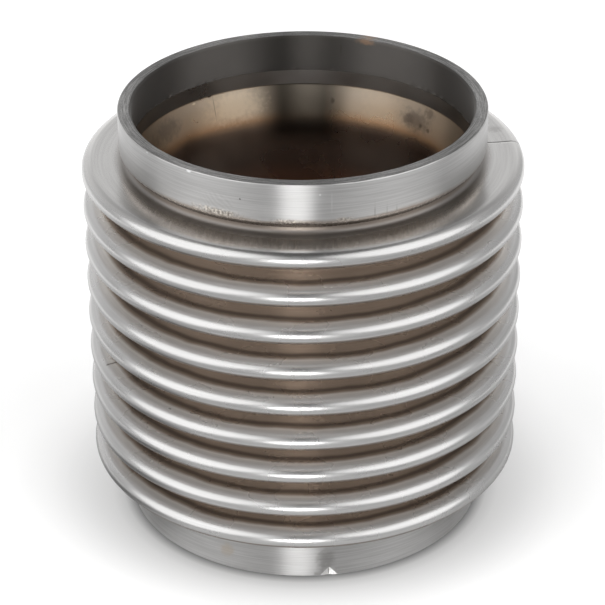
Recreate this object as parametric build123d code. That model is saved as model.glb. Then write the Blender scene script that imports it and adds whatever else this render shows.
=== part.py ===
from build123d import *
import math
import os

# Exhaust flex pipe: a convoluted bellows between two thick weld collars, with a thin sleeve
# inside that keeps the gas off the folds. It stands on its lower collar.
# The origin is the centre of the base and +Z runs up the gas path. Sizes are in millimetres.

# Whole pipe
pipe_length = 152.4

# Weld collars: 5 inch tube stubs, the same at both ends
collar_diameter = 127.0
collar_wall = 4.6
collar_height = 13.5
mouth_bevel = 0.6
rim_break = 0.3

# Bellows: the folds share out the length between the two end ones
fold_count = 9
fold_height = 15.9
crest_radius = 3.2
crest_setback = 8.6
neck_radius = 2.0
bellows_wall = 0.8

# Gas sleeve, welded to the upper collar and free at its lower end
sleeve_wall = 1.0
sleeve_cuff = 5.8
cuff_bend = 1.2
funnel_height = 13.7
funnel_step = 3.9
funnel_bend = 25.0
sleeve_end_height = 19.0

# Weld beads round the necks
bead_height = 3.0
bead_set_back = 0.2
bead_crown = 0.25

# Dent in the foot of the lower collar
dent_width = 7.4
dent_height = 3.0
dent_depth = 0.8
dent_bearing = -81.0

# Radii that follow from the sizes above
collar_rim = collar_diameter / 2
collar_bore = collar_rim - collar_wall
cuff_outside = collar_bore + sleeve_wall
neck_outside = cuff_outside + bellows_wall
crest_centre = neck_outside + fold_height - crest_radius

# Heights that follow from the sizes above
neck_bottom = collar_height
neck_top = pipe_length - collar_height
low_crest = neck_bottom + crest_setback
high_crest = neck_top - crest_setback
fold_pitch = (high_crest - low_crest) / (fold_count - 1)
crest_heights = [low_crest + index * fold_pitch for index in range(fold_count)]
root_radius = fold_pitch / 2 - crest_radius
root_centre = neck_outside + root_radius


def turned(outline):
    # Spins a closed outline, drawn as radius and height, round the pipe's axis.
    return revolve(Plane.XZ * make_face(outline), axis=Axis.Z)


def upended(piece):
    # Puts the twin of a lower piece at the top of the pipe.
    return Pos(0, 0, pipe_length) * Rot(180, 0, 0) * piece


def collar():
    points = [
        (collar_bore + mouth_bevel, 0),
        (collar_rim - rim_break, 0),
        (collar_rim, rim_break),
        (collar_rim, collar_height),
        (collar_bore, collar_height),
        (collar_bore, mouth_bevel),
    ]
    return turned(Polyline(*points, close=True))


def lower_collar():
    # A shallow wedge is knocked out of the foot, deepest at the bottom edge.
    side = Polyline(
        (collar_rim + dent_depth, 0),
        (collar_rim - dent_depth, 0),
        (collar_rim + dent_depth, 2 * dent_height),
        close=True,
    )
    wedge = extrude(Plane.XZ * make_face(side), amount=dent_width / 2, both=True)
    return collar() - Rot(0, 0, dent_bearing) * wedge


def fold_line(inset):
    # One face of the bellows wall, from the lower neck to the upper one. A crest's arc loses
    # what a root's arc gains, so two lines with different insets stay a wall apart.
    neck = neck_outside - inset
    crest = crest_radius - inset
    root = root_radius + inset
    bend = neck_radius + inset
    bend_centre = neck_outside + neck_radius
    low_bend = low_crest - crest_radius - neck_radius
    high_bend = high_crest + crest_radius + neck_radius

    line = Line((neck, neck_bottom), (neck, low_bend))
    line += CenterArc((bend_centre, low_bend), bend, 180, -90)
    line += Line((bend_centre, low_crest - crest), (crest_centre, low_crest - crest))
    for below, above in zip(crest_heights, crest_heights[1:]):
        line += CenterArc((crest_centre, below), crest, -90, 180)
        line += Line((crest_centre, below + crest), (root_centre, below + crest))
        line += CenterArc((root_centre, (below + above) / 2), root, 270, -180)
        line += Line((root_centre, above - crest), (crest_centre, above - crest))
    line += CenterArc((crest_centre, high_crest), crest, -90, 180)
    line += Line((crest_centre, high_crest + crest), (bend_centre, high_crest + crest))
    line += CenterArc((bend_centre, high_bend), bend, 270, -90)
    line += Line((neck, high_bend), (neck, neck_top))
    return line


def bellows():
    neck_inside = neck_outside - bellows_wall
    outline = fold_line(0) + fold_line(bellows_wall)
    outline += Line((neck_inside, neck_bottom), (neck_outside, neck_bottom))
    outline += Line((neck_inside, neck_top), (neck_outside, neck_top))
    return turned(outline)


def sleeve_line(inset):
    # One face of the sleeve's wall: the cuff, the funnel and the tube that clears the folds.
    # The corners lift with the inset, which keeps the sheet as thick along the funnel.
    cuff = cuff_outside - inset
    tube = cuff - funnel_step
    slope = math.atan2(funnel_step, funnel_height)
    cuff_bottom = neck_top - sleeve_cuff + inset * math.tan(slope / 2)
    bends = [cuff_bend + sleeve_wall - inset, funnel_bend - sleeve_wall + inset]
    points = [
        (cuff, neck_top),
        (cuff, cuff_bottom),
        (tube, cuff_bottom - funnel_height),
        (tube, sleeve_end_height),
    ]
    return FilletPolyline(*points, radius=bends)


def gas_sleeve():
    tube_outside = cuff_outside - funnel_step
    outline = sleeve_line(0) + sleeve_line(sleeve_wall)
    outline += Line((collar_bore, neck_top), (cuff_outside, neck_top))
    outline += Line((tube_outside - sleeve_wall, sleeve_end_height), (tube_outside, sleeve_end_height))
    return turned(outline)


def weld_bead():
    # Fills the corner between the collar's end face and the neck, with a slight crown.
    on_collar = (collar_rim - bead_set_back, collar_height)
    on_neck = (neck_outside, collar_height + bead_height)
    outline = Polyline(on_neck, (neck_outside, collar_height), on_collar)
    outline += SagittaArc(on_collar, on_neck, -bead_crown)
    return turned(outline)


def main():
    pieces = {
        "lower_collar": lower_collar(),
        "upper_collar": upended(collar()),
        "bellows": bellows(),
        "gas_sleeve": gas_sleeve(),
        "lower_weld": weld_bead(),
        "upper_weld": upended(weld_bead()),
    }
    os.makedirs("parts", exist_ok=True)
    for name, piece in pieces.items():
        export_step(piece, f"parts/{name}.step")


main()
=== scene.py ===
import bpy
import math
from mathutils import Matrix, Vector


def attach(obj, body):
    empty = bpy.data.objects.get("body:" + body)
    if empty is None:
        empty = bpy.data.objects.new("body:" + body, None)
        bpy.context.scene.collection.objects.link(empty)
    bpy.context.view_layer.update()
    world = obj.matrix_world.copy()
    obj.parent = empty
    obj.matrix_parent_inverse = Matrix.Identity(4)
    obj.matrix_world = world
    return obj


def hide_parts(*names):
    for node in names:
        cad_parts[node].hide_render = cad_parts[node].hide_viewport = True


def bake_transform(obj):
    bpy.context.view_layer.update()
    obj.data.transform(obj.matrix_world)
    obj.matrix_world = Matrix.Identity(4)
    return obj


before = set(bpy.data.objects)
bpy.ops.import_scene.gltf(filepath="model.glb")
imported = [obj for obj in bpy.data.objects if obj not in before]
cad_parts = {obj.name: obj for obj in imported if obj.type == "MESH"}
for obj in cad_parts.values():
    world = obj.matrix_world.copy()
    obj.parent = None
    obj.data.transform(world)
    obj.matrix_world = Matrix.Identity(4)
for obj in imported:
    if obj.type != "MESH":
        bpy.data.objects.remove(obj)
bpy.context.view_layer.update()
print("frame loaded")

# The pipe stands on z = 0 with its axis on Z, in metres. The photo looks at it from -Y.
pipe = {
    "length": 0.1524,
    "collarHeight": 0.0135,
    "rim": 0.0635,
    "bore": 0.0589,
    "neck": 0.0607,
}

drawing = {
    "startSize": 0.001,        # the plane that is merged to a section's first vertex
    "mergeWithin": 0.000002,   # where a spun section meets itself
}


# Drawing tools: half a section is drawn in edit mode and spun round the axis

def pickNothing():
    if bpy.context.object and bpy.context.object.mode == "EDIT":
        bpy.ops.object.mode_set(mode="OBJECT")
    bpy.ops.object.select_all(action="DESELECT")


def pickOnly(piece):
    pickNothing()
    piece.select_set(True)
    bpy.context.view_layer.objects.active = piece


def startProfile(name, radius, height):
    # a tiny plane merged to one vertex, to draw out from
    pickNothing()
    bpy.ops.mesh.primitive_plane_add(size=drawing["startSize"], location=(radius, 0, height))
    bpy.ops.object.transform_apply(location=True, rotation=False, scale=False)
    piece = bpy.context.object
    piece.name = name
    piece.data.name = name
    bpy.ops.object.mode_set(mode="EDIT")
    bpy.ops.mesh.select_all(action="SELECT")
    bpy.ops.mesh.merge(type="CENTER")
    return piece


def drawLine(outward, upward, parts=1):
    for step in range(parts):
        bpy.ops.mesh.extrude_vertices_move(
            TRANSFORM_OT_translate={"value": (outward / parts, 0, upward / parts)})


def drawArc(radius, height, degrees, steps):
    # turns the last vertex about a centre in the section's plane, clockwise as seen from the photo's side
    bpy.ops.mesh.spin(steps=steps, angle=math.radians(-degrees), center=(radius, 0, height), axis=(0, 1, 0))


def drawBowed(outward, upward, bulge, steps):
    # a run that bows along a shallow parabola: bulge is how far its middle moves, outward and upward
    last = (0.0, 0.0)
    for step in range(1, steps + 1):
        part = step / steps
        bow = 4 * part * (1 - part)
        spot = (outward * part + bulge[0] * bow, upward * part + bulge[1] * bow)
        drawLine(spot[0] - last[0], spot[1] - last[1])
        last = spot


def noteLengths(piece):
    # each vertex learns how far along the section it is and how far up the face there looks (-1 to 1);
    # the spun mesh keeps both
    bpy.ops.object.mode_set(mode="OBJECT")
    mesh = piece.data
    gone = 0.0
    noted = mesh.attributes.new("along", "FLOAT", "POINT")
    facing = mesh.attributes.new("facing", "FLOAT", "POINT")
    places = [vertex.co.copy() for vertex in mesh.vertices]
    for index, place in enumerate(places):
        before, after = places[max(index - 1, 0)], places[min(index + 1, len(places) - 1)]
        gone += (place - before).length
        noted.data[index].value = gone
        facing.data[index].value = -(after - before).normalized().x
    piece["sectionLength"] = gone


def spinRound(piece, stretches):
    # stretches are (degrees, steps) pairs, swept one after the other
    bpy.ops.object.mode_set(mode="EDIT")
    bpy.ops.mesh.select_all(action="SELECT")
    for degrees, steps in stretches:
        bpy.ops.mesh.spin(steps=steps, angle=math.radians(degrees), center=(0, 0, 0), axis=(0, 0, 1))
    bpy.ops.mesh.select_all(action="SELECT")
    bpy.ops.mesh.remove_doubles(threshold=drawing["mergeWithin"])
    bpy.ops.mesh.select_all(action="SELECT")
    bpy.ops.mesh.normals_make_consistent(inside=False)
    bpy.ops.object.mode_set(mode="OBJECT")


def useModifier(piece, kind, name, **settings):
    modifier = piece.modifiers.new(name, kind)
    for setting, value in settings.items():
        setattr(modifier, setting, value)
    bpy.context.view_layer.objects.active = piece
    bpy.ops.object.modifier_apply(modifier=modifier.name)


def smoothOver(piece, degrees):
    pickOnly(piece)
    bpy.ops.object.shade_smooth_by_angle(angle=math.radians(degrees))


def mapAround(piece):
    # U runs round the pipe and V along the section, so that the grain can follow the turning
    mesh = piece.data
    total = piece["sectionLength"]
    along = [item.value / total for item in mesh.attributes["along"].data]
    turn = [math.atan2(v.co.y, v.co.x) / (2 * math.pi) % 1.0 for v in mesh.vertices]
    layer = mesh.uv_layers.new(name="around")
    for face in mesh.polygons:
        us = [turn[index] for index in face.vertices]
        vs = [along[index] for index in face.vertices]
        if max(us) - min(us) > 0.5:
            us = [u + 1 if u < 0.5 else u for u in us]
        if max(vs) - min(vs) > 0.5:
            vs = [v + 1 if v < 0.5 else v for v in vs]
        for loop, u, v in zip(face.loop_indices, us, vs):
            layer.data[loop].uv = (u, v)


def turnAbout(piece, degrees):
    pickOnly(piece)
    bpy.ops.object.mode_set(mode="EDIT")
    bpy.ops.mesh.select_all(action="SELECT")
    bpy.ops.transform.rotate(value=math.radians(-degrees), orient_axis="Z", center_override=(0, 0, 0))
    bpy.ops.object.mode_set(mode="OBJECT")


def pickParts(piece, kind, test):
    # picks the vertices or faces that pass a test, and leaves the piece in edit mode
    pickOnly(piece)
    bpy.ops.object.mode_set(mode="EDIT")
    bpy.ops.mesh.select_mode(type=kind)
    bpy.ops.mesh.select_all(action="DESELECT")
    bpy.ops.object.mode_set(mode="OBJECT")
    for item in piece.data.polygons if kind == "FACE" else piece.data.vertices:
        item.select = test(item)
    bpy.ops.object.mode_set(mode="EDIT")


# Bellows: nine folds between two necks, rolled from one welded tube

bellowsShape = {
    "wall": 0.0008,
    "crests": 9,
    "crestRadius": 0.0028,
    "crestCentre": 0.0738,
    "easeRadius": 0.004,       # a crest runs into its flanks in this wider bend
    "easeFrom": 50,            # degrees from the crest's tip
    "rootRadius": 0.0031,
    "setBack": 0.0086,         # from a neck's end to the nearest crest
    "shoulder": 0.0034,        # from that crest to its end flank
    "dish": 0.00012,           # how hollow the end flanks are
    "neckBend": 0.002,
    "drift": (0.4, -0.2, -0.4, -0.75, -0.8, -0.7, -0.4, 0.0, 0.35),   # millimetres, lowest crest first
    "neckSteps": 2,
    "bendSteps": 5,
    "dishSteps": 6,
    "easeSteps": 3,
    "crestSteps": 10,
    "flankSteps": 2,
    "rootSteps": 8,
    "around": 140,
    "seamSteps": 6,
    "seamDegrees": 1.2,
    "seamFloor": (0.3, 0.7),   # the share of the seam's width that is sunk
    "seamDepth": 0.0001,
    "seamBearing": 6.7,        # degrees from +X
    "smoothOver": 40,
}


def easeCentre(tip, side):
    # the centre of a crest's wider bend, on its upper (1) or lower (-1) side
    start = math.radians(bellowsShape["easeFrom"])
    apart = bellowsShape["easeRadius"] - bellowsShape["crestRadius"]
    return tip[0] - apart * math.cos(start), tip[1] - side * apart * math.sin(start)


def flankBetween(ease, other, otherRadius):
    # the straight run between a crest's wider bend and the bend beside it: lean, outward run and rise
    across, apart = ease[0] - other[0], abs(ease[1] - other[1])
    touching = bellowsShape["easeRadius"] + otherRadius
    lean = math.atan2(apart, across) - math.asin(touching / math.hypot(across, apart))
    run = math.sqrt(across**2 + apart**2 - touching**2)
    return math.degrees(lean), run * math.cos(lean), run * math.sin(lean)


def drawBellows():
    shape = bellowsShape
    low = pipe["collarHeight"]
    high = pipe["length"] - low
    bend, root = shape["neckBend"], shape["rootRadius"]
    straight = 90 - shape["easeFrom"]
    bottom = low + shape["setBack"]
    pitch = (high - low - 2 * shape["setBack"]) / (shape["crests"] - 1)
    # the real folds aren't spaced quite evenly, so each crest sits a little off its even place
    heights = [bottom + index * pitch + drift / 1000 for index, drift in enumerate(shape["drift"])]
    tips = [(shape["crestCentre"], height) for height in heights]
    lowBend = (pipe["neck"] + bend, bottom - shape["shoulder"] - bend)
    highBend = (pipe["neck"] + bend, pipe["length"] - lowBend[1])

    piece = startProfile("bellowsFolds", pipe["neck"], low)
    drawLine(0, lowBend[1] - low, shape["neckSteps"])
    lean, run, rise = flankBetween(easeCentre(tips[0], -1), lowBend, bend)
    drawArc(*lowBend, 90 - lean, shape["bendSteps"])
    drawBowed(run, rise, (0, shape["dish"]), shape["dishSteps"])
    for tip, above in zip(tips, tips[1:] + [None]):
        drawArc(*easeCentre(tip, -1), lean - straight, shape["easeSteps"])
        drawArc(*tip, -2 * shape["easeFrom"], shape["crestSteps"])
        ease = easeCentre(tip, 1)
        if above:
            hollow = (pipe["neck"] + root, (tip[1] + above[1]) / 2)
            lean, run, rise = flankBetween(ease, hollow, root)
        else:
            lean, run, rise = flankBetween(ease, highBend, bend)
        drawArc(*ease, lean - straight, shape["easeSteps"])
        if above:
            drawLine(-run, rise, shape["flankSteps"])
            before = lean
            lean, run, rise = flankBetween(easeCentre(above, -1), hollow, root)
            drawArc(*hollow, 180 - before - lean, shape["rootSteps"])
            drawLine(run, rise, shape["flankSteps"])
        else:
            drawBowed(-run, rise, (0, -shape["dish"]), shape["dishSteps"])
    drawArc(*highBend, 90 - lean, shape["bendSteps"])
    drawLine(0, high - highBend[1], shape["neckSteps"])
    noteLengths(piece)
    seam = shape["seamDegrees"]
    spinRound(piece, [(seam, shape["seamSteps"]), (360 - seam, shape["around"])])
    # the weld along the tube is rolled a little below the sheet
    near, far = (share * seam for share in shape["seamFloor"])
    pickParts(piece, "VERT", lambda spot: near < abs(math.degrees(math.atan2(spot.co.y, spot.co.x))) < far)
    bpy.ops.transform.shrink_fatten(value=-shape["seamDepth"])
    bpy.ops.object.mode_set(mode="OBJECT")
    return piece


bellows = drawBellows()
useModifier(bellows, "SOLIDIFY", "wall", thickness=bellowsShape["wall"], offset=-1, use_even_offset=True)
turnAbout(bellows, bellowsShape["seamBearing"])
mapAround(bellows)
smoothOver(bellows, bellowsShape["smoothOver"])
print("bellows folds", len(bellows.data.polygons), "faces")


# Weld collars: turned tube stubs, the same at both ends

collarShape = {
    "mouthBevel": 0.0006,
    "rimBreak": 0.0003,
    "edgeRound": 0.00012,
    "edgeSegments": 2,
    "wallSteps": 8,
    "faceSteps": 4,
    "around": 288,
    "smoothOver": 30,
}


def drawCollar(name, upper):
    shape = collarShape
    flip = 1 if upper else -1
    inner = pipe["length"] - pipe["collarHeight"] if upper else pipe["collarHeight"]
    height = pipe["collarHeight"]
    wall = height - shape["rimBreak"]
    bore = height - shape["mouthBevel"]
    piece = startProfile(name, pipe["bore"], inner)
    drawLine(0, flip * bore, shape["wallSteps"])
    drawLine(shape["mouthBevel"], flip * shape["mouthBevel"])
    drawLine(pipe["rim"] - pipe["bore"] - shape["mouthBevel"] - shape["rimBreak"], 0, shape["faceSteps"])
    drawLine(shape["rimBreak"], -flip * shape["rimBreak"])
    drawLine(0, -flip * wall, shape["wallSteps"])
    drawLine(pipe["bore"] - pipe["rim"], 0)
    noteLengths(piece)
    spinRound(piece, [(360, shape["around"])])
    return piece


# a knock in the foot left two flat facets that meet in an upright crease
dentShape = {
    "bearing": 7.3,
    "height": 0.0038,
    "depth": 0.0008,
    "halfWidth": 0.0038,
    "outside": 0.002,           # how far the cutting wedge stands out of the wall
    "below": 0.001,             # and below the foot
    "nearTurn": 0.08,           # radians from the crease that hold all of its faces
    "margin": 0.0004,           # above the crease's upper end
    "skin": (0.062, 0.06347),   # radii between which a face is the dent's
    "downward": -0.5,           # faces that look further down belong to the foot
}


def dentFoot(piece):
    shape = dentShape
    slope = shape["depth"] / shape["height"]
    deep = shape["depth"] + shape["outside"]
    tall = deep / slope + shape["below"]
    turn = math.radians(shape["bearing"])
    far = pipe["rim"] + shape["outside"]
    pickNothing()
    bpy.ops.mesh.primitive_cone_add(
        vertices=4, radius1=tall * slope, depth=tall, rotation=(0, 0, turn),
        scale=(shape["halfWidth"] / shape["depth"], 1, 1),
        location=(far * math.sin(turn), -far * math.cos(turn), tall / 2 - shape["below"]))
    knock = bpy.context.object
    useModifier(piece, "BOOLEAN", "dent", object=knock, operation="DIFFERENCE", solver="EXACT")
    pickNothing()
    knock.select_set(True)
    bpy.ops.object.delete()


def flattenDent(piece):
    # the facets keep their crisp edges
    shape = dentShape
    turn = math.radians(shape["bearing"])
    inner, outer = shape["skin"]

    def inDent(face):
        spot = face.center
        near = abs(math.atan2(spot.x, -spot.y) - turn) < shape["nearTurn"]
        low = spot.z < shape["height"] + shape["margin"]
        return near and low and inner < math.hypot(spot.x, spot.y) < outer and face.normal.z > shape["downward"]

    pickParts(piece, "FACE", inDent)
    bpy.ops.mesh.faces_shade_flat()
    bpy.ops.mesh.select_mode(type="VERT")
    bpy.ops.object.mode_set(mode="OBJECT")


upperCollar = drawCollar("upperCollar", True)
lowerCollar = drawCollar("lowerCollar", False)
for piece in (upperCollar, lowerCollar):
    useModifier(piece, "BEVEL", "edges", width=collarShape["edgeRound"], segments=collarShape["edgeSegments"],
                limit_method="ANGLE", angle_limit=math.radians(collarShape["smoothOver"]))
    if piece == lowerCollar:
        dentFoot(piece)
    mapAround(piece)
    smoothOver(piece, collarShape["smoothOver"])
flattenDent(lowerCollar)
print("collars", len(upperCollar.data.polygons), "faces each")


# Weld beads in the corners between the collars and the necks

beadShape = {
    "height": 0.003,
    "setBack": 0.0002,
    "crown": 0.00025,
    "crownSteps": 5,
    "around": 360,
    "smoothOver": 40,
}


def drawBead(name, upper):
    shape = beadShape
    flip = -1 if upper else 1
    foot = pipe["length"] - pipe["collarHeight"] if upper else pipe["collarHeight"]
    width = pipe["rim"] - shape["setBack"] - pipe["neck"]
    piece = startProfile(name, pipe["neck"], foot + flip * shape["height"])
    drawLine(0, -flip * shape["height"])
    drawLine(width, 0)
    crown = Vector((shape["height"], flip * width)).normalized() * shape["crown"]
    drawBowed(-width, flip * shape["height"], crown, shape["crownSteps"])
    noteLengths(piece)
    spinRound(piece, [(360, shape["around"])])
    return piece


upperBead = drawBead("upperBead", True)
lowerBead = drawBead("lowerBead", False)
for piece in (upperBead, lowerBead):
    mapAround(piece)
    smoothOver(piece, beadShape["smoothOver"])
print("beads", len(upperBead.data.polygons), "faces each")


# Gas sleeve: a cuff in the collar's end, a funnel and a tube that clears the folds

sleeveShape = {
    "wall": 0.001,
    "cuff": 0.0058,
    "cuffBend": 0.0012,
    "funnelHeight": 0.0137,
    "funnelStep": 0.0039,
    "funnelBend": 0.025,
    "endHeight": 0.019,
    "cuffSteps": 4,
    "cuffBendSteps": 5,
    "funnelSteps": 8,
    "funnelBendSteps": 10,
    "tubeSteps": 24,
    "smoothOver": 40,
}


def drawSleeve():
    shape = sleeveShape
    top = pipe["length"] - pipe["collarHeight"]
    tube = pipe["bore"] - shape["funnelStep"]
    slope = math.atan2(shape["funnelStep"], shape["funnelHeight"])
    corner = top - shape["cuff"] + shape["wall"] * math.tan(slope / 2)
    cuffRun = shape["cuffBend"] * math.tan(slope / 2)
    tubeRun = shape["funnelBend"] * math.tan(slope / 2)
    tubeTop = corner - shape["funnelHeight"] - tubeRun
    funnel = math.hypot(shape["funnelStep"], shape["funnelHeight"]) - cuffRun - tubeRun

    piece = startProfile("gasSleeve", pipe["bore"], top)
    drawLine(0, corner + cuffRun - top, shape["cuffSteps"])
    drawArc(pipe["bore"] - shape["cuffBend"], corner + cuffRun, math.degrees(slope), shape["cuffBendSteps"])
    drawLine(-funnel * math.sin(slope), -funnel * math.cos(slope), shape["funnelSteps"])
    drawArc(tube + shape["funnelBend"], tubeTop, -math.degrees(slope), shape["funnelBendSteps"])
    drawLine(0, shape["endHeight"] - tubeTop, shape["tubeSteps"])
    noteLengths(piece)
    spinRound(piece, [(360, collarShape["around"])])
    return piece


gasSleeve = drawSleeve()
useModifier(gasSleeve, "SOLIDIFY", "wall", thickness=sleeveShape["wall"], offset=1, use_even_offset=True)
mapAround(gasSleeve)
smoothOver(gasSleeve, sleeveShape["smoothOver"])
print("gas sleeve", len(gasSleeve.data.polygons), "faces")


# Nodes: small helpers that wire the finishes

def addNode(tree, kind, inputs=None, **settings):
    made = tree.nodes.new("ShaderNode" + kind)
    for setting, value in settings.items():
        setattr(made, setting, value)
    for socket, value in (inputs or {}).items():
        if isinstance(value, bpy.types.NodeSocket):
            tree.links.new(value, made.inputs[socket])
        else:
            made.inputs[socket].default_value = value
    return made


def maths(tree, operation, first, second=0.0, third=0.0):
    return addNode(tree, "Math", {0: first, 1: second, 2: third}, operation=operation).outputs[0]


def add(tree, first, second):
    return maths(tree, "ADD", first, second)


def takeAway(tree, first, second):
    return maths(tree, "SUBTRACT", first, second)


def times(tree, first, second):
    return maths(tree, "MULTIPLY", first, second)


def eitherWay(tree, value):
    return maths(tree, "ABSOLUTE", value)


def fade(tree, value, low, high, start=0.0, end=1.0):
    # goes smoothly from start to end while value goes from low to high
    limits = {"Value": value, "From Min": low, "From Max": high, "To Min": start, "To Max": end}
    return addNode(tree, "MapRange", limits, interpolation_type="SMOOTHSTEP").outputs[0]


def noise(tree, vector, scale, detail):
    return addNode(tree, "TexNoise", {"Vector": vector, "Scale": scale, "Detail": detail}).outputs["Fac"]


def opaque(tone):
    return (*tone, 1) if isinstance(tone, tuple) else tone


def mixColours(tree, amount, first, second, way="MIX"):
    inputs = {0: amount, 6: opaque(first), 7: opaque(second)}
    return addNode(tree, "Mix", inputs, data_type="RGBA", blend_type=way).outputs[2]


def ramp(tree, value, stops):
    made = addNode(tree, "ValToRGB", {"Fac": value})
    band = made.color_ramp.elements
    band[0].position, band[0].color = stops[0][0], opaque(stops[0][1])
    band[1].position, band[1].color = stops[-1][0], opaque(stops[-1][1])
    for spot, colour in stops[1:-1]:
        band.new(spot).color = opaque(colour)
    return made.outputs["Color"]


def namedRamp(tree, value, look, stops):
    return ramp(tree, value, [(spot, look[tone]) for spot, tone in look[stops]])


def greyRamp(tree, value, stops):
    return ramp(tree, value, [(spot, (level,) * 3) for spot, level in stops])


def asGrey(tree, level):
    return addNode(tree, "CombineColor", {0: level, 1: level, 2: level}).outputs["Color"]


def pipePlaces(tree, sectionLength):
    # where a point is, in metres and radians; the bearing counts from the front, towards +X
    spot = addNode(tree, "TexCoord").outputs["Object"]
    parts = addNode(tree, "SeparateXYZ", {0: spot}).outputs
    flat = addNode(tree, "VectorMath", {0: spot, 1: (1, 1, 0)}, operation="MULTIPLY").outputs[0]
    around = addNode(tree, "UVMap", uv_map="around").outputs[0]
    run = addNode(tree, "SeparateXYZ", {0: around}).outputs[1]
    bearing = maths(tree, "ARCTAN2", parts[0], times(tree, parts[1], -1))
    return {
        "spot": spot,
        "height": parts[2],
        "fromMiddle": eitherWay(tree, takeAway(tree, parts[2], pipe["length"] / 2)),
        "radius": addNode(tree, "VectorMath", {0: flat}, operation="LENGTH").outputs["Value"],
        "ring": addNode(tree, "VectorMath", {0: flat}, operation="NORMALIZE").outputs[0],
        "bearing": bearing,
        "fromFront": eitherWay(tree, bearing),
        "along": times(tree, run, sectionLength),
    }


def turnedLines(tree, places, roundScale, linesPerMetre, detail):
    # noise drawn out round the pipe, as turning and rolling leave it
    climb = addNode(tree, "CombineXYZ", {2: times(tree, places["along"], linesPerMetre)}).outputs[0]
    inputs = {0: places["ring"], 1: (roundScale,) * 3, 2: climb}
    return noise(tree, addNode(tree, "VectorMath", inputs, operation="MULTIPLY_ADD").outputs[0], 1.0, detail)


def newSteel(name, piece, look):
    material = bpy.data.materials.new(name)
    material.use_nodes = True
    tree = material.node_tree
    shader = tree.nodes["Principled BSDF"]
    shader.inputs["Metallic"].default_value = 1.0
    shader.inputs["Anisotropic"].default_value = look["anisotropy"]
    shader.inputs["Anisotropic Rotation"].default_value = 0.25   # a quarter turn, along the turning lines
    tangent = addNode(tree, "Tangent", direction_type="UV_MAP", uv_map="around").outputs[0]
    tree.links.new(tangent, shader.inputs["Tangent"])
    return material, tree, shader, pipePlaces(tree, piece["sectionLength"])


def wire(tree, shader, colour, roughness, height, bump):
    tree.links.new(colour, shader.inputs["Base Color"])
    tree.links.new(roughness, shader.inputs["Roughness"])
    made = addNode(tree, "Bump", {"Strength": bump[0], "Distance": bump[1], "Height": height})
    tree.links.new(made.outputs[0], shader.inputs["Normal"])


# Small marks. A mark is its bearing in degrees, its level, half its width and half its height in
# millimetres, its tone and how much of the tone shows.

markShape = {
    "ragged": (600, 3),      # noise scale and detail
    "raggedness": 1.4,
    "edge": (1.4, 0.3),      # in half widths
    "speckEdge": 0.6,        # where a speck is full, as a share of its radius
}


def specks(tree, places, cell, radius, share):
    # small round spots: a share of the cells of a Voronoi pattern hold one each
    cells = addNode(tree, "TexVoronoi", {"Vector": places["spot"], "Scale": 1 / cell})
    pick = addNode(tree, "SeparateColor", {0: cells.outputs["Color"]}).outputs[0]
    chosen = maths(tree, "LESS_THAN", pick, share)
    full = markShape["speckEdge"] * radius / cell
    return times(tree, fade(tree, cells.outputs["Distance"], radius / cell, full), chosen)


def blot(tree, places, level, bearing, middle, wide, tall):
    # a soft ragged oval
    turn = takeAway(tree, places["bearing"], math.radians(bearing))
    across = times(tree, times(tree, turn, places["radius"]), 1000 / wide)
    upward = maths(tree, "MULTIPLY_ADD", level, 1000 / tall, -middle / tall)
    apart = addNode(tree, "CombineXYZ", {0: across, 1: upward}).outputs[0]
    away = addNode(tree, "VectorMath", {0: apart}, operation="LENGTH").outputs["Value"]
    raggedness = markShape["raggedness"]
    ragged = noise(tree, places["spot"], *markShape["ragged"])
    ragged = maths(tree, "MULTIPLY_ADD", ragged, raggedness, -raggedness / 2)
    return fade(tree, add(tree, away, ragged), *markShape["edge"])


def addMarks(tree, places, level, colour, marks):
    for *mark, tone, share in marks:
        colour = mixColours(tree, times(tree, blot(tree, places, level, *mark), share), colour, tone)
    return colour


# Bellows steel: satin and rolled, browner towards the roots, with painted light and shade between the folds
# In every look, cloud and fine are noise (scale, detail), and grain is noise drawn out round the pipe
# (scale round it, lines per metre, detail). The other pairs are fades, from the first number to the
# second; a third and a fourth are the amounts there.

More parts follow.
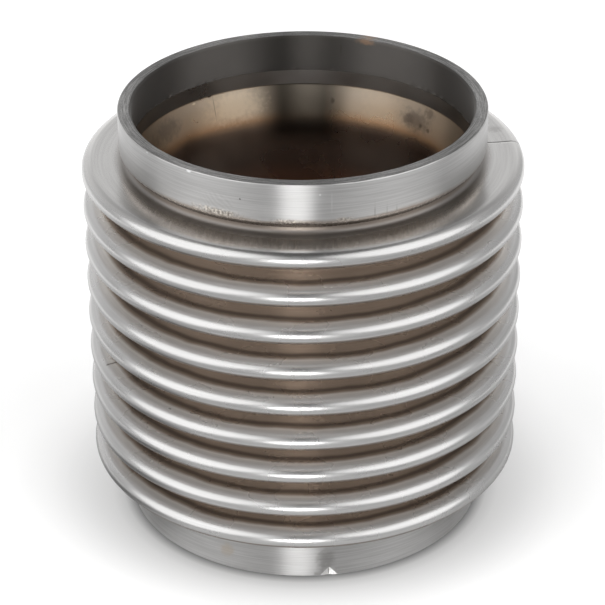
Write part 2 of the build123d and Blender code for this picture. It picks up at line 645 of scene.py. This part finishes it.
bellowsLook = {
    "crest": (0.62, 0.615, 0.61),
    "flank": (0.78, 0.765, 0.745),
    "inner": (0.36, 0.30, 0.25),
    "corner": (0.15, 0.12, 0.10),
    "root": (0.76, 0.675, 0.60),
    "rootMiddle": (0.58, 0.50, 0.43),
    "rootLow": (0.38, 0.315, 0.265),
    "underside": (0.70, 0.66, 0.62),
    "limb": (0.28, 0.24, 0.21),
    "endFlank": (0.68, 0.67, 0.66),
    "neck": (0.13, 0.11, 0.095),
    "line": (0.5, 0.5, 0.5),
    "dust": (0.85, 0.78, 0.70),
    # these tones by radius and facing are painted light and shade, over a brown tint towards the roots
    "upperTones": ((0.0, "rootLow"), (0.35, "inner"), (0.50, "corner"), (0.60, "corner"), (0.75, "inner"),
                   (0.87, "flank"), (1.0, "crest")),
    "hollowTones": ((0.0, "root"), (0.4, "rootMiddle"), (1.0, "rootLow")),
    "cloud": (60, 3),
    "grain": (2.5, 1500, 3),
    "stray": 0.0025,                           # how far the tints wander, in metres of radius
    "betweenFolds": (0.0745, 0.0725),          # radius
    "flankFacing": (0.75, 0.95),               # facing
    "flankReach": (0.0758, 0.0745),            # radius
    "upperReach": (0.0620, 0.0745),            # radius
    "upperFacing": (0.2, 0.8),                 # facing
    "limbStart": (-0.25, -0.5),                # facing
    "limbEnd": (-0.99, -0.93),                 # facing
    "hollowFacing": (-0.9, 0.9),               # facing
    "rootReach": (0.0660, 0.0640),             # radius
    "endReach": (0.0565, 0.0570),              # height from the middle
    "neckReach": (0.0665, 0.0615, 0.0, 0.75),  # radius
    "lineShare": (0.35, 0.65, 0.0, 0.12),      # grain
    "specks": (0.0036, 0.00011, 0.16),         # cell, radius, share of the cells
    "film": 0.3,
    # dark spots in painted shade, for small pits that are not modelled
    "pitShades": (
        (-68.6, 65.2, 0.5, 0.5, (0.12, 0.10, 0.09), 0.9),
        (-70.8, 58.3, 0.5, 0.4, (0.12, 0.10, 0.09), 0.9)),
    # painted shade of a shallow dip in a flank
    "dipShades": ((105.0, 70.0, 2.6, 2.6, (0.40, 0.39, 0.38), 0.5),),   # level by radius, on the flanks
    "roughness": 0.27,
    "roughnessStray": (0.3, 0.7, -0.01, 0.03),
    "neckRougher": 0.2,
    "endSmoother": -0.06,
    "anisotropy": 0.5,
    "bump": (0.015, 0.0001),
}


def paintBellows():
    look = bellowsLook
    material, tree, shader, places = newSteel("satin bellows steel", bellows, look)
    cloud = noise(tree, places["spot"], *look["cloud"])
    lines = turnedLines(tree, places, *look["grain"])
    facing = addNode(tree, "Attribute", attribute_name="facing").outputs["Fac"]
    radius = add(tree, places["radius"], times(tree, takeAway(tree, cloud, 0.5), look["stray"]))
    flankTop = times(tree, fade(tree, facing, *look["flankFacing"]), fade(tree, radius, *look["flankReach"]))
    inside = maths(tree, "MAXIMUM", fade(tree, radius, *look["betweenFolds"]), flankTop)
    # painted light and shade over the brown tint: upper faces light near the crest and dark in the corner; roots
    # tan; undersides pale
    upper = namedRamp(tree, fade(tree, radius, *look["upperReach"]), look, "upperTones")
    # painted shade: each crest ends in a dark line where it turns under
    limb = times(tree, fade(tree, facing, *look["limbStart"]), fade(tree, facing, *look["limbEnd"]))
    under = mixColours(tree, limb, look["crest"], look["limb"])
    under = mixColours(tree, inside, under, look["underside"])
    hollow = namedRamp(tree, fade(tree, facing, *look["hollowFacing"]), look, "hollowTones")
    root = mixColours(tree, fade(tree, radius, *look["rootReach"]), under, hollow)
    upward = fade(tree, facing, *look["upperFacing"])
    colour = mixColours(tree, upward, root, upper)
    # the two end flanks take their own tone; where they meet the necks they are darker and browner, heat tint
    # deepened by painted shade
    outer = fade(tree, places["fromMiddle"], *look["endReach"])
    colour = mixColours(tree, times(tree, outer, upward), colour, look["endFlank"])
    ends = times(tree, outer, fade(tree, places["radius"], *look["neckReach"]))
    colour = mixColours(tree, ends, colour, look["neck"])
    colour = mixColours(tree, fade(tree, lines, *look["lineShare"]), colour, look["line"], "MULTIPLY")
    # a thin dull film with dust lies between the folds
    film = times(tree, inside, takeAway(tree, 1.0, outer))
    colour = mixColours(tree, times(tree, specks(tree, places, *look["specks"]), film), colour, look["dust"])
    tree.links.new(maths(tree, "MULTIPLY_ADD", film, -look["film"], 1.0), shader.inputs["Metallic"])
    colour = addMarks(tree, places, places["height"], colour, look["pitShades"])
    colour = addMarks(tree, places, places["radius"], colour, look["dipShades"])
    roughness = add(tree, fade(tree, cloud, *look["roughnessStray"]), look["roughness"])
    roughness = add(tree, roughness, times(tree, ends, look["neckRougher"]))
    roughness = add(tree, roughness, times(tree, outer, look["endSmoother"]))
    wire(tree, shader, colour, roughness, lines, look["bump"])
    return material


# Collar steel: turned outside, bored inside, faced at the rim

collarLook = {
    "light": (0.60, 0.595, 0.59),
    "dark": (0.50, 0.495, 0.49),
    "bore": (0.175, 0.165, 0.155),
    "boreShadow": (0.06, 0.055, 0.05),
    "rim": (0.28, 0.275, 0.27),
    "heat": (0.30, 0.22, 0.16),
    # painted shade towards the sides, near the weld end
    "sideShade": (0.27, 0.26, 0.25),
    "stroke": (0.25, 0.24, 0.23),
    # the tone of the painted highlight along the rim's outer edge
    "lip": (0.80, 0.79, 0.78),
    "bare": (0.97, 0.96, 0.95),
    "rimTones": ((0.1, 0.62), (0.55, 1.0), (0.95, 1.5)),
    "sparkTones": ((0.38, (0.16, 0.12, 0.09)), (0.5, (0.42, 0.37, 0.31)), (0.64, (0.90, 0.82, 0.72))),
    "cloud": (90, 4),
    "fine": (1300, 2),
    "grain": (3.0, 2200, 4),
    "rimGrain": (7, 4200, 3),
    "turnShare": (0.3, 0.7),                   # grain
    "boreReach": (0.0599, 0.0594),             # radius
    "rimReach": (0.07610, 0.07615),            # height from the middle
    "backReach": (2.70, 3.05, 0.0, 0.75),      # bearing either way
    "edgeStray": 0.002,
    "heatReach": (0.0650, 0.0632, 0.0, 0.8),   # height from the middle
    "sideShadeReach": (0.0740, 0.0655, 0.0, 0.6),   # height from the middle
    "sideShadeSides": (0.5, 1.1),                   # bearing either way
    "streakShare": (0.35, 0.65, 0.0, 0.78),    # grain of the rim
    "fineShare": (0.35, 0.65, 0.0, 0.22),      # fine noise
    "filed": (-26.0, 143.5, 6.5, 3.4),         # a mark without tone or share
    "strokes": (190, 26, 3400),                # per radian round, by the cloud, per metre up
    "strokeShare": (-1.0, 1.0, 0.0, 0.16),
    "burnt": ((-26.5, 139.9, 8.5, 1.3, 0.7), (-4.5, 139.4, 5.0, 0.8, 0.55), (12.0, 139.4, 3.0, 0.8, 0.55)),
    "edgeGlintReach": (0.0758, 0.0760),             # height from the middle
    "edgeGlintShare": (0.40, 0.62, 0.15, 0.8),      # grain of the rim
    "lipReach": (0.06315, 0.06328),            # radius
    "bareReach": (0.06348, 0.06344),           # radius
    "bareSize": (1.0, 6.0, 4.0),
    "marks": (
        (21.4, 140.5, 0.22, 3.6, (0.25, 0.24, 0.23), 0.5),    # three scratches right of the front
        (25.3, 140.2, 0.18, 2.6, (0.25, 0.24, 0.23), 0.5),
        (28.6, 139.6, 0.25, 2.0, (0.25, 0.24, 0.23), 0.45),
        # painted shade in a pit, and painted highlights on two nicks
        (-18.8, 146.0, 0.35, 0.3, (0.14, 0.13, 0.12), 0.9),   # a pit and two bright nicks
        (4.8, 148.9, 0.4, 0.35, (0.9, 0.9, 0.9), 0.8),
        (8.3, 145.6, 0.12, 3.6, (0.9, 0.9, 0.9), 0.5),
        # chips on the upper rim: bare metal, brightened by painted highlight
        (-35.6, 151.9, 0.9, 0.35, (0.95, 0.95, 0.95), 0.9),   # bare chips on the upper rim
        (-54.0, 151.9, 0.7, 0.3, (0.95, 0.95, 0.95), 0.7),
        (6.2, 6.6, 3.2, 4.6, (0.22, 0.21, 0.20), 0.5),        # the lower collar's smear, crease and stain
        # painted shade in the dent's crease
        (7.3, 1.8, 0.14, 1.8, (0.10, 0.09, 0.08), 0.7),
        (-25.7, 7.2, 2.6, 2.8, (0.52, 0.45, 0.37), 0.6),
        (166.2, 147.8, 0.3, 2.6, (0.10, 0.09, 0.08), 0.6),    # opposite the viewer, in the bore
        (157.0, 151.6, 3.4, 1.0, (0.42, 0.28, 0.19), 0.7)),
    "roughness": 0.376,
    "roughnessStray": (0.3, 0.7, -0.03, 0.03),
    "boreRougher": 0.17,
    "anisotropy": 1.0,
    "bump": (0.05, 0.0001),
}


def paintCollar():
    look = collarLook
    material, tree, shader, places = newSteel("turned collar steel", upperCollar, look)
    cloud = noise(tree, places["spot"], *look["cloud"])
    lines = turnedLines(tree, places, *look["grain"])
    bore = fade(tree, places["radius"], *look["boreReach"])
    rim = fade(tree, places["fromMiddle"], *look["rimReach"])
    colour = mixColours(tree, fade(tree, lines, *look["turnShare"]), look["dark"], look["light"])
    # painted shade: the bore is dark, and darkest opposite the viewer
    colour = mixColours(tree, bore, colour, look["bore"])
    back = fade(tree, places["fromFront"], *look["backReach"])
    colour = mixColours(tree, times(tree, back, bore), colour, look["boreShadow"])
    colour = mixColours(tree, rim, colour, look["rim"])
    # brown heat tint just above the weld, and a wider painted shade towards the sides
    outside = takeAway(tree, 1.0, bore)
    edge = add(tree, places["fromMiddle"], times(tree, cloud, look["edgeStray"]))
    heat = times(tree, fade(tree, edge, *look["heatReach"]), outside)
    colour = mixColours(tree, heat, colour, look["heat"])
    sideShade = times(tree, fade(tree, edge, *look["sideShadeReach"]), fade(tree, places["fromFront"], *look["sideShadeSides"]))
    colour = mixColours(tree, times(tree, sideShade, outside), colour, look["sideShade"])
    # streaks and grain on the faced rim
    fine = noise(tree, places["spot"], *look["fine"])
    streaks = turnedLines(tree, places, *look["rimGrain"])
    faced = add(tree, fade(tree, streaks, *look["streakShare"]), fade(tree, fine, *look["fineShare"]))
    colour = mixColours(tree, rim, colour, greyRamp(tree, faced, look["rimTones"]), "MULTIPLY")
    # filing marks and burnt grains near the weld, left of the front
    filed = blot(tree, places, places["height"], *look["filed"])
    roundScale, cloudScale, upScale = look["strokes"]
    slant = maths(tree, "MULTIPLY_ADD", places["bearing"], roundScale, times(tree, cloud, cloudScale))
    strokes = maths(tree, "SINE", add(tree, slant, times(tree, places["height"], upScale)))
    filed = times(tree, filed, fade(tree, strokes, *look["strokeShare"]))
    colour = mixColours(tree, filed, colour, look["stroke"])
    sparks = ramp(tree, fine, look["sparkTones"])
    for *mark, share in look["burnt"]:
        burnt = blot(tree, places, places["height"], *mark)
        colour = mixColours(tree, times(tree, burnt, share), colour, sparks)
    # a painted highlight: a light broken line along the rim's outer edge
    edgeGlint = times(tree, fade(tree, places["fromMiddle"], *look["edgeGlintReach"]),
                 fade(tree, streaks, *look["edgeGlintShare"]))
    lip = fade(tree, places["radius"], *look["lipReach"])
    colour = mixColours(tree, times(tree, edgeGlint, lip), colour, look["lip"])
    # bare metal in the dent
    bare = times(tree, fade(tree, places["radius"], *look["bareReach"]),
                 blot(tree, places, places["height"], dentShape["bearing"], *look["bareSize"]))
    colour = mixColours(tree, bare, colour, look["bare"])
    colour = addMarks(tree, places, places["height"], colour, look["marks"])
    roughness = add(tree, fade(tree, cloud, *look["roughnessStray"]), look["roughness"])
    roughness = add(tree, roughness, times(tree, bore, look["boreRougher"]))
    wire(tree, shader, colour, roughness, mixColours(tree, rim, lines, faced), look["bump"])
    return material


# Sleeve steel: straw, copper and brown from the heat of its weld

sleeveLook = {
    "tones": ((0.0, (0.36, 0.31, 0.27)), (0.35, (0.38, 0.30, 0.24)), (0.48, (0.62, 0.42, 0.27)),
              (0.62, (0.62, 0.50, 0.38)), (0.84, (0.60, 0.51, 0.41)), (1.0, (0.60, 0.51, 0.41))),
    "copper": (0.52, 0.36, 0.28),
    "shadow": (0.05, 0.044, 0.036),
    "cuff": (0.31, 0.295, 0.28),
    "cloud": (45, 4),
    "grain": (3.0, 1600, 4),
    "reach": (0.105, 0.139),                   # height
    "stray": 0.16,
    "copperReach": (0.106, 0.096),             # height
    "backReach": (2.80, 3.02, 0.0, 0.95),      # bearing either way
    "funnelReach": (0.108, 0.118),             # height
    "cuffReach": (0.1334, 0.1337),             # height
    "marks": (
        # painted reflections: bright patches either side of the back
        (-154.0, 128.0, 11.0, 6.0, (0.95, 0.80, 0.60), 0.45),    # bright patches either side of the back
        (150.0, 128.0, 8.0, 6.0, (0.80, 0.66, 0.50), 0.3),
        (-146.2, 129.0, 0.2, 4.5, (0.12, 0.09, 0.07), 0.45),     # the sleeve's own seam, and spots beside it
        (-144.9, 133.6, 1.0, 0.8, (0.05, 0.04, 0.04), 0.9),
        (-138.0, 132.5, 0.8, 0.4, (1.0, 0.88, 0.70), 0.8),
        (-141.0, 131.8, 2.6, 1.4, (0.70, 0.60, 0.50), 0.4),
        (169.0, 127.7, 0.8, 1.0, (0.06, 0.05, 0.04), 0.6),
        (134.5, 127.0, 7.5, 3.6, (0.16, 0.14, 0.13), 0.55),      # soot on the right
        (137.6, 126.6, 2.4, 2.0, (0.12, 0.10, 0.09), 0.4),
        (131.5, 125.9, 0.9, 0.8, (0.08, 0.07, 0.06), 0.5),
        (127.5, 125.3, 0.8, 0.7, (0.08, 0.07, 0.06), 0.5),
        (128.4, 131.2, 2.6, 1.8, (0.14, 0.12, 0.11), 0.5),
        (-122.0, 128.0, 8.0, 4.0, (0.22, 0.20, 0.19), 0.5)),     # and on the left
    "roughness": 0.30,
    "roughnessStray": (0.3, 0.7, -0.04, 0.06),
    "anisotropy": 0.6,
    "bump": (0.1, 0.0002),
}


def paintSleeve():
    look = sleeveLook
    material, tree, shader, places = newSteel("heat tinted sleeve steel", gasSleeve, look)
    cloud = noise(tree, places["spot"], *look["cloud"])
    lines = turnedLines(tree, places, *look["grain"])
    stray = times(tree, takeAway(tree, cloud, 0.5), look["stray"])
    level = add(tree, fade(tree, places["height"], *look["reach"]), stray)
    colour = ramp(tree, level, look["tones"])
    # copper deep down; painted shade opposite the viewer, and painted reflections brightest to the left of that
    colour = mixColours(tree, fade(tree, places["height"], *look["copperReach"]), colour, look["copper"])
    back = fade(tree, places["fromFront"], *look["backReach"])
    funnel = fade(tree, places["height"], *look["funnelReach"])
    colour = mixColours(tree, times(tree, back, funnel), colour, look["shadow"])
    colour = addMarks(tree, places, places["height"], colour, look["marks"])
    colour = mixColours(tree, fade(tree, places["height"], *look["cuffReach"]), colour, look["cuff"])
    roughness = add(tree, fade(tree, cloud, *look["roughnessStray"]), look["roughness"])
    wire(tree, shader, colour, roughness, lines, look["bump"])
    return material


# Weld steel: brown, with small ripples, and a painted highlight along its edge on the collar

beadLook = {
    "tones": ((0.3, (0.15, 0.125, 0.10)), (0.75, (0.23, 0.195, 0.165))),
    "edge": (0.80, 0.74, 0.68),
    "cloud": (600, 4),
    "edgeStray": 0.0005,
    "highlightReach": (0.0614, 0.0623),             # height from the middle
    "roughness": (0.3, 0.7, 0.20, 0.30),       # cloud
    "anisotropy": 0.0,
    "bump": (0.1, 0.0003),
}


def paintBead():
    look = beadLook
    material, tree, shader, places = newSteel("browned weld steel", upperBead, look)
    cloud = noise(tree, places["spot"], *look["cloud"])
    edge = add(tree, places["fromMiddle"], times(tree, takeAway(tree, cloud, 0.5), look["edgeStray"]))
    colour = ramp(tree, cloud, look["tones"])
    # painted highlight: a light line along the bead's edge on the collar
    colour = mixColours(tree, fade(tree, edge, *look["highlightReach"]), colour, look["edge"])
    wire(tree, shader, colour, fade(tree, cloud, *look["roughness"]), cloud, look["bump"])
    return material


for painted, material in (
    ((bellows,), paintBellows()),
    ((gasSleeve,), paintSleeve()),
    ((upperCollar, lowerCollar), paintCollar()),
    ((upperBead, lowerBead), paintBead()),
):
    for piece in painted:
        piece.data.materials.append(material)
print("finishes made")


# Which CAD node each piece stands for, and what it rides on

for piece, node, slot in (
    (bellows, "bellows", "bellows_steel"),
    (upperCollar, "upper_collar", "collar_steel"),
    (lowerCollar, "lower_collar", "collar_steel"),
    (upperBead, "upper_weld", "weld_steel"),
    (lowerBead, "lower_weld", "weld_steel"),
    (gasSleeve, "gas_sleeve", "sleeve_steel"),
):
    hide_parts(node)
for piece in (upperCollar, upperBead, gasSleeve):
    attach(piece, "upper_end")
for piece in (lowerCollar, lowerBead):
    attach(piece, "lower_end")
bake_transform(bellows)


# Lamps: each softbox is a few nested lamps, which gives it soft edges

lamps = {
    "distance": 1.7,
    "aim": (0, 0, 0.08),
    "nested": ((1.4, 0.28), (1.0, 0.34), (0.6, 0.38)),   # share of the size, share of the light
    # bearing from the front towards +X and elevation in degrees, width and height in degrees, brightness
    "softboxes": {
        "left softbox": (-65, 37, 48, 56, 3.6),
        "right softbox": (60, 40, 44, 52, 3.6),
        "front strip": (-4, 12, 15, 15, 23.0),
    },
}


def addLamp(name, bearing, elevation, width, height, brightness):
    far = lamps["distance"]
    turn = math.radians(bearing)
    climb = math.radians(elevation)
    way = Vector((math.sin(turn) * math.cos(climb), -math.cos(turn) * math.cos(climb), math.sin(climb)))
    bpy.ops.object.light_add(type="AREA", location=Vector(lamps["aim"]) + far * way)
    lamp = bpy.context.object
    lamp.name = name
    lamp.rotation_euler = way.to_track_quat("Z", "Y").to_euler()
    lamp.data.shape = "ELLIPSE"
    lamp.data.size = 2 * far * math.tan(math.radians(width / 2))
    lamp.data.size_y = 2 * far * math.tan(math.radians(height / 2))
    lamp.data.energy = brightness * math.pi * lamp.data.size * lamp.data.size_y * math.pi / 4
    lamp.visible_camera = False


for name, (bearing, elevation, width, height, brightness) in lamps["softboxes"].items():
    for share, part in lamps["nested"]:
        addLamp(name, bearing, elevation, width * share, height * share, brightness * part)


# Floor: the camera sees it white with the pipe's shadow; metal sees it greyer in front and white
# behind, as in the photo

floorLook = {
    "size": 8.0,
    "colour": 0.88,
    "roughness": 0.9,
    "glow": 0.28,
    "inMetal": 0.58,
    # a painted shadow in the floor as metal sees it, left of the foot
    "darkSpot": (-0.12, -0.04, 0),
    "darkTone": 0.15,
    "darkReach": (0.02, 0.07),                 # metres from the dark spot
    "outward": (0.13, 0.22, 1.0, 0.75),        # metres from the axis
    "shadeReach": (20.0, -1.27),               # metres from the axis to the ramp's 0 to 1, times and plus
    "shade": ((0.0, 0.20), (0.03, 0.33), (0.08, 0.55), (0.16, 0.66), (0.24, 0.71), (0.40, 0.80), (0.63, 0.92),
              (0.93, 1.0)),
    "behindSlant": 0.25,
    "behindReach": (0.0, 0.4),                 # metres behind the axis
    "glowInMetal": 0.75,
}


def paintFloor(floor):
    look = floorLook
    material = bpy.data.materials.new("pale floor")
    material.use_nodes = True
    tree = material.node_tree
    shader = tree.nodes["Principled BSDF"]
    shader.inputs["Roughness"].default_value = look["roughness"]
    shader.inputs["Specular IOR Level"].default_value = 0.0
    rays = addNode(tree, "LightPath").outputs
    spot = addNode(tree, "TexCoord").outputs["Object"]
    away = addNode(tree, "VectorMath", {0: spot, 1: look["darkSpot"]}, operation="DISTANCE").outputs["Value"]
    outward = addNode(tree, "VectorMath", {0: spot}, operation="LENGTH").outputs["Value"]
    inMetal = times(tree, fade(tree, away, *look["darkReach"], look["darkTone"], look["inMetal"]),
                    fade(tree, outward, *look["outward"]))
    # soft shade round the foot
    shade = greyRamp(tree, maths(tree, "MULTIPLY_ADD", outward, *look["shadeReach"]), look["shade"])
    seen = mixColours(tree, 1.0, shade, (look["colour"],) * 3, "MULTIPLY")
    tone = mixColours(tree, rays["Is Glossy Ray"], seen, asGrey(tree, inMetal))
    parts = addNode(tree, "SeparateXYZ", {0: spot}).outputs
    back = maths(tree, "MULTIPLY_ADD", eitherWay(tree, parts[0]), look["behindSlant"], parts[1])
    behind = fade(tree, back, *look["behindReach"], 0.0, look["glowInMetal"])
    glow = add(tree, times(tree, rays["Is Camera Ray"], look["glow"]), times(tree, rays["Is Glossy Ray"], behind))
    tree.links.new(tone, shader.inputs["Base Color"])
    tree.links.new(shade, shader.inputs["Emission Color"])
    tree.links.new(glow, shader.inputs["Emission Strength"])
    floor.data.materials.append(material)


pickNothing()
bpy.ops.mesh.primitive_plane_add(size=floorLook["size"], location=(0, 0, 0))
floor = bpy.context.object
floor.name = "paleFloor"
paintFloor(floor)


# World: ramps run from the horizon up to the top, in front, behind and at the sides

sky = {
    "front": ((0.0, 0.55), (0.15, 0.5), (0.25, 0.4), (0.5, 0.3), (0.8, 0.17), (1.0, 0.06)),
    "rear": ((0.0, 1.0), (0.15, 1.0), (0.35, 0.75), (0.5, 0.45), (0.62, 0.25), (0.75, 0.16), (1.0, 0.06)),
    "side": ((0.0, 0.4), (0.3, 0.4), (1.0, 0.42)),
    "rearSide": ((0.0, 0.65), (0.4, 0.62), (0.65, 0.4), (1.0, 0.4)),
    "rightDimmer": (0.0, 0.5, 1.0, 0.72),      # by X of the direction
    "toRear": (-0.3, 0.5),                     # by Y
    "sideToRear": (0.3, 0.7),                  # by Y
    "toSide": (0.12, 0.5),                     # by X either way
    "strength": 1.25,
    "seenStrength": 1.0,
}


def paintSky():
    world = bpy.data.worlds.new("studio")
    bpy.context.scene.world = world
    world.use_nodes = True
    tree = world.node_tree
    background = tree.nodes["Background"]
    x, y, z = addNode(tree, "SeparateXYZ", {0: addNode(tree, "TexCoord").outputs["Generated"]}).outputs
    front, rear, side, rearSide = (greyRamp(tree, z, sky[part]) for part in ("front", "rear", "side", "rearSide"))
    dimmer = asGrey(tree, fade(tree, x, *sky["rightDimmer"]))
    rearSide = mixColours(tree, 1.0, rearSide, dimmer, "MULTIPLY")
    side = mixColours(tree, fade(tree, y, *sky["sideToRear"]), side, rearSide)
    around = mixColours(tree, fade(tree, y, *sky["toRear"]), front, rear)
    around = mixColours(tree, fade(tree, eitherWay(tree, x), *sky["toSide"]), around, side)
    toCamera = addNode(tree, "LightPath").outputs["Is Camera Ray"]
    strength = maths(tree, "MULTIPLY_ADD", toCamera, sky["seenStrength"] - sky["strength"], sky["strength"])
    tree.links.new(mixColours(tree, toCamera, around, (1, 1, 1)), background.inputs["Color"])
    tree.links.new(strength, background.inputs["Strength"])


paintSky()
print("studio built")

cameraPlace = {
    "spot": (-0.0005, -0.7753, 0.5052),
    "lens": 147.55,
    "sensor": 36,
    "pitch": 0.5073,
    "roll": -0.0065,
}
bpy.ops.object.camera_add(location=cameraPlace["spot"])
camera = bpy.context.object
camera.name = "photo camera"
camera.data.lens = cameraPlace["lens"]
camera.data.sensor_width = cameraPlace["sensor"]
camera.rotation_euler = (Matrix.Rotation(math.pi / 2 - cameraPlace["pitch"], 3, "X")
                         @ Matrix.Rotation(cameraPlace["roll"], 3, "Z")).to_euler()
bpy.context.scene.camera = camera
bpy.context.scene.view_settings.view_transform = "Standard"
